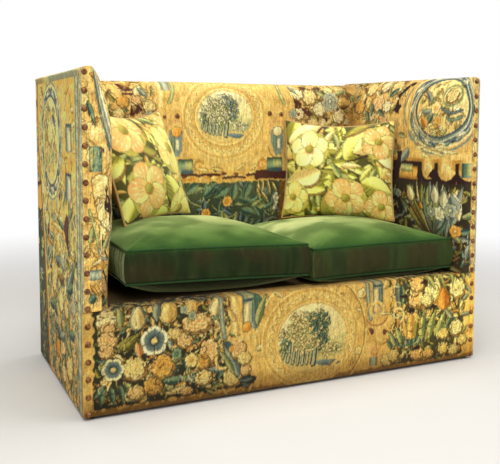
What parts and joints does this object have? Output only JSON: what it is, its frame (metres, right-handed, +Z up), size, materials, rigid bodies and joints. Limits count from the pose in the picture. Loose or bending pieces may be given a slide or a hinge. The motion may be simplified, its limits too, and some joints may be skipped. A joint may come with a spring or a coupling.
{
  "type": "two-seat sofa",
  "caption": "Boxy high-armed two-seat sofa in old tapestry, with domed nails down the arm fronts, loose boxed velvet seat cushions and printed scatter cushions.",
  "frame": {"origin": "on the floor, under the middle of the sofa's outline, at the glides' feet", "axes": "+Z up, +X to the right of someone who faces the sofa, -Y towards the front"},
  "size_m": [1.406, 0.715, 0.98],
  "materials": {
    "hardwood": "planed bare beech, hidden inside",
    "jute": "coarse jute webbing",
    "spring_steel": "bright drawn wire, dulled",
    "hessian": "plain woven hessian",
    "tapestry": "worn wool tapestry with ribbed weave",
    "black_lining": "thin black cotton",
    "aged_metal": "aged copper brown",
    "green_velvet": "worn cotton velvet, nap rubbed at the edges",
    "printed_cotton": "printed cotton, soft matt"
  },
  "bodies": {
    "sofa_frame": {"front_post_left": "hardwood", "front_post_right": "hardwood", "rear_post_left": "hardwood", "rear_post_right": "hardwood", "front_base_rail": "hardwood", "rear_base_rail": "hardwood", "side_base_rail_left": "hardwood", "side_base_rail_right": "hardwood", "front_seat_rail": "hardwood", "rear_seat_rail": "hardwood", "side_seat_rail_left": "hardwood", "side_seat_rail_right": "hardwood", "arm_top_rail_left": "hardwood", "arm_top_rail_right": "hardwood", "arm_tack_rail_left": "hardwood", "arm_tack_rail_right": "hardwood", "back_top_rail": "hardwood", "back_tack_rail": "hardwood", "back_upright": "hardwood", "base_stretcher": "hardwood", "front_support_block": "hardwood", "rear_support_block": "hardwood", "front_corner_block_left": "hardwood", "rear_corner_block_left": "hardwood", "front_corner_block_right": "hardwood", "rear_corner_block_right": "hardwood", "webbing": "jute", "seat_spring_1": "spring_steel", "seat_spring_2": "spring_steel", "seat_spring_3": "spring_steel", "seat_spring_4": "spring_steel", "seat_spring_5": "spring_steel", "seat_spring_6": "spring_steel", "seat_spring_7": "spring_steel", "seat_spring_8": "spring_steel", "seat_spring_9": "spring_steel", "seat_spring_10": "spring_steel", "seat_spring_11": "spring_steel", "seat_spring_12": "spring_steel", "spring_canvas": "hessian", "seat_deck": "hessian", "arm_inside_left": "tapestry", "arm_inside_right": "tapestry", "back_inside": "tapestry", "arm_outside_left": "tapestry", "arm_outside_right": "tapestry", "back_outside": "tapestry", "arm_facing_left": "tapestry", "arm_facing_right": "tapestry", "seat_front_cover": "tapestry", "dust_cover": "black_lining", "glide_front_left": "aged_metal", "glide_rear_left": "aged_metal", "glide_front_right": "aged_metal", "glide_rear_right": "aged_metal"},
    "left_seat": {"seat_cushion_left": "green_velvet"},
    "right_seat": {"seat_cushion_right": "green_velvet"},
    "left_scatter": {"scatter_cushion_left": "printed_cotton"},
    "right_scatter": {"scatter_cushion_right": "printed_cotton"}
  },
  "joints": [
    {"name": "left_seat_draw", "type": "slide", "parent": "sofa_frame", "child": "left_seat", "axis": [0, -0.9781, 0.2079], "range_m": [0, 0.3]},
    {"name": "right_seat_draw", "type": "slide", "parent": "sofa_frame", "child": "right_seat", "axis": [0, -0.9781, 0.2079], "range_m": [0, 0.3]},
    {"name": "left_scatter_lift", "type": "slide", "parent": "left_seat", "child": "left_scatter", "axis": [0, -0.5, 0.866], "range_m": [0, 0.25]},
    {"name": "right_scatter_lift", "type": "slide", "parent": "right_seat", "child": "right_scatter", "axis": [0, -0.5, 0.866], "range_m": [0, 0.25]}
  ]
}
